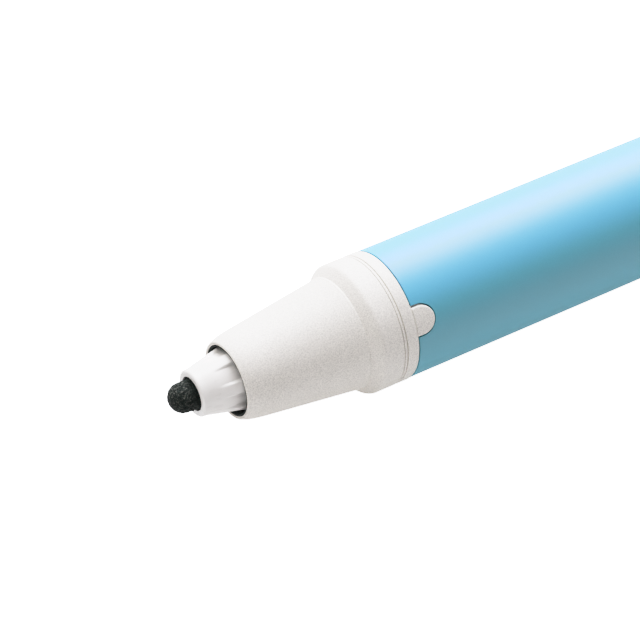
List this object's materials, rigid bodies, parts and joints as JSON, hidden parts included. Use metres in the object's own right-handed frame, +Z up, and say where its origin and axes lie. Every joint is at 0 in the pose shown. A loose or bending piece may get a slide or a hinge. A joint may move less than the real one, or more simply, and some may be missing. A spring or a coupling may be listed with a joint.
{
  "type": "fabric marking pen",
  "caption": "Push-button fabric marker: felt nib in a ribbed holder, moulded nose cone, round barrel, pocket clip and spring return.",
  "frame": {"origin": "under the middle of the pen, on the surface that it lies on", "axes": "+X along the pen from the nib to the button, +Z up through the clip"},
  "size_m": [0.1352, 0.013, 0.0158],
  "materials": {
    "off_white_moulding": "fine moulded texture, satin",
    "sky_blue_barrel": "smooth, soft gloss",
    "white_gloss_plastic": "smooth, glossy",
    "black_rubber": "matte",
    "natural_plastic": "smooth, satin",
    "spring_steel": "drawn wire",
    "black_felt": "ground felt, soaked with ink",
    "ink_fibre": "bonded fibre",
    "clear_film": "thin film"
  },
  "bodies": {
    "casing": {"barrel": "sky_blue_barrel", "nose_cone": "off_white_moulding", "front_coupling": "off_white_moulding", "tail_collar": "off_white_moulding", "duckbill_seal": "black_rubber", "seal_retainer": "natural_plastic", "o_ring": "black_rubber", "spring_seat": "natural_plastic", "return_spring": "spring_steel", "cam_sleeve": "natural_plastic"},
    "clip": {"clip": "off_white_moulding"},
    "cartridge": {"nib": "black_felt", "nib_holder": "white_gloss_plastic", "feeder_rod": "ink_fibre", "ink_tube": "natural_plastic", "ink_reservoir": "ink_fibre", "reservoir_film": "clear_film", "tube_plug": "natural_plastic"},
    "rotor": {"rotor": "natural_plastic"},
    "push_button": {"plunger": "natural_plastic", "button": "off_white_moulding"}
  },
  "joints": [
    {"name": "cartridge_slide", "type": "slide", "parent": "casing", "child": "cartridge", "axis": [1, 0, 0], "range_m": [0, 0.013], "deforming": ["return_spring", "duckbill_seal"]},
    {"name": "button_slide", "type": "slide", "parent": "casing", "child": "push_button", "axis": [1, 0, 0], "range_m": [0, 0.013]},
    {"name": "rotor_turn", "type": "hinge", "parent": "cartridge", "child": "rotor", "pos_m": [0.0376, 0, 0.0065], "axis": [1, 0, 0], "continuous": true},
    {"name": "clip_flex", "type": "hinge", "parent": "casing", "child": "clip", "pos_m": [0.0574, 0, 0.0134], "axis": [0, 1, 0], "range_deg": [0, 4], "stiffness_Nm_per_rad": 0.3, "springref_deg": -0.57}
  ],
  "couplings": [
    {"joint": "button_slide", "follows": "cartridge_slide", "ratio": 1}
  ]
}
